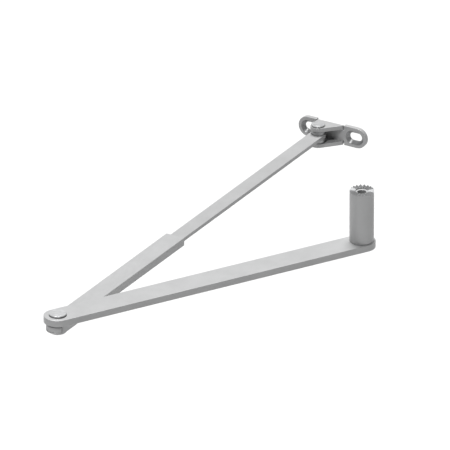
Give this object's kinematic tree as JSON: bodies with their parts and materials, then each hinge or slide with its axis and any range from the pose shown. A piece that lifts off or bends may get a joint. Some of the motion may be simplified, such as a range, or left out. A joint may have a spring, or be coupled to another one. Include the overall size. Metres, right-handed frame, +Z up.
{
  "type": "door operator push arm",
  "caption": "Jointed push arm for a swing door drive: toothed spindle, flat main arm, elbow, telescopic forearm and a clevis bracket with countersunk slots.",
  "frame": {"origin": "on the spindle's axis, at the roots of its crown teeth", "axes": "+X along the forearm from the elbow to the bracket, which is also the way the bracket's back faces; +Z up the spindle, out of its crown"},
  "size_m": [0.6229, 0.2484, 0.0917],
  "materials": {
    "arm_paint": "satin silver",
    "spindle_paint": "satin silver",
    "sleeve_paint": "satin silver",
    "bar_paint": "satin silver",
    "bracket_paint": "satin silver",
    "turned_steel": "turned",
    "zinc_steel": "zinc plated",
    "black_steel": "black oxide",
    "bronze": "sintered",
    "polymer": "matt"
  },
  "bodies": {
    "main_arm": {"main_arm": "arm_paint", "spindle": "spindle_paint", "drive_screw_ring": "black_steel", "elbow_pin": "turned_steel", "elbow_disc": "turned_steel", "elbow_circlip": "black_steel"},
    "drive_screw": {"drive_screw": "black_steel"},
    "forearm": {"forearm_sleeve": "sleeve_paint", "hinge_block": "sleeve_paint", "hinge_block_screws": "black_steel", "elbow_bush": "bronze", "elbow_thrust_washer": "polymer", "guide_bush": "polymer", "clamp_nuts": "zinc_steel", "clamp_screws": "black_steel", "clamp_pad": "bronze"},
    "bar": {"forearm_bar": "bar_paint", "slider_shoe": "polymer", "slider_pin": "black_steel", "bar_bush": "bronze"},
    "bracket": {"bracket": "bracket_paint", "bracket_pin": "turned_steel", "upper_spacer": "zinc_steel", "lower_spacer": "zinc_steel", "bracket_circlip": "black_steel"}
  },
  "joints": [
    {"name": "elbow_pivot", "type": "hinge", "parent": "main_arm", "child": "forearm", "pos_m": [-0.34295, 0.198, -0.0746], "axis": [0, 0, 1], "range_deg": [-15, 145]},
    {"name": "reach_slide", "type": "slide", "parent": "forearm", "child": "bar", "axis": [1, 0, 0], "range_m": [-0.12, 0.03]},
    {"name": "bracket_pivot", "type": "hinge", "parent": "bar", "child": "bracket", "pos_m": [0.24455, 0.198, -0.0746], "axis": [0, 0, 1], "range_deg": [-90, 90]},
    {"name": "drive_screw_slide", "type": "slide", "parent": "main_arm", "child": "drive_screw", "axis": [0, 0, 1], "range_m": [0, 0.018]}
  ]
}
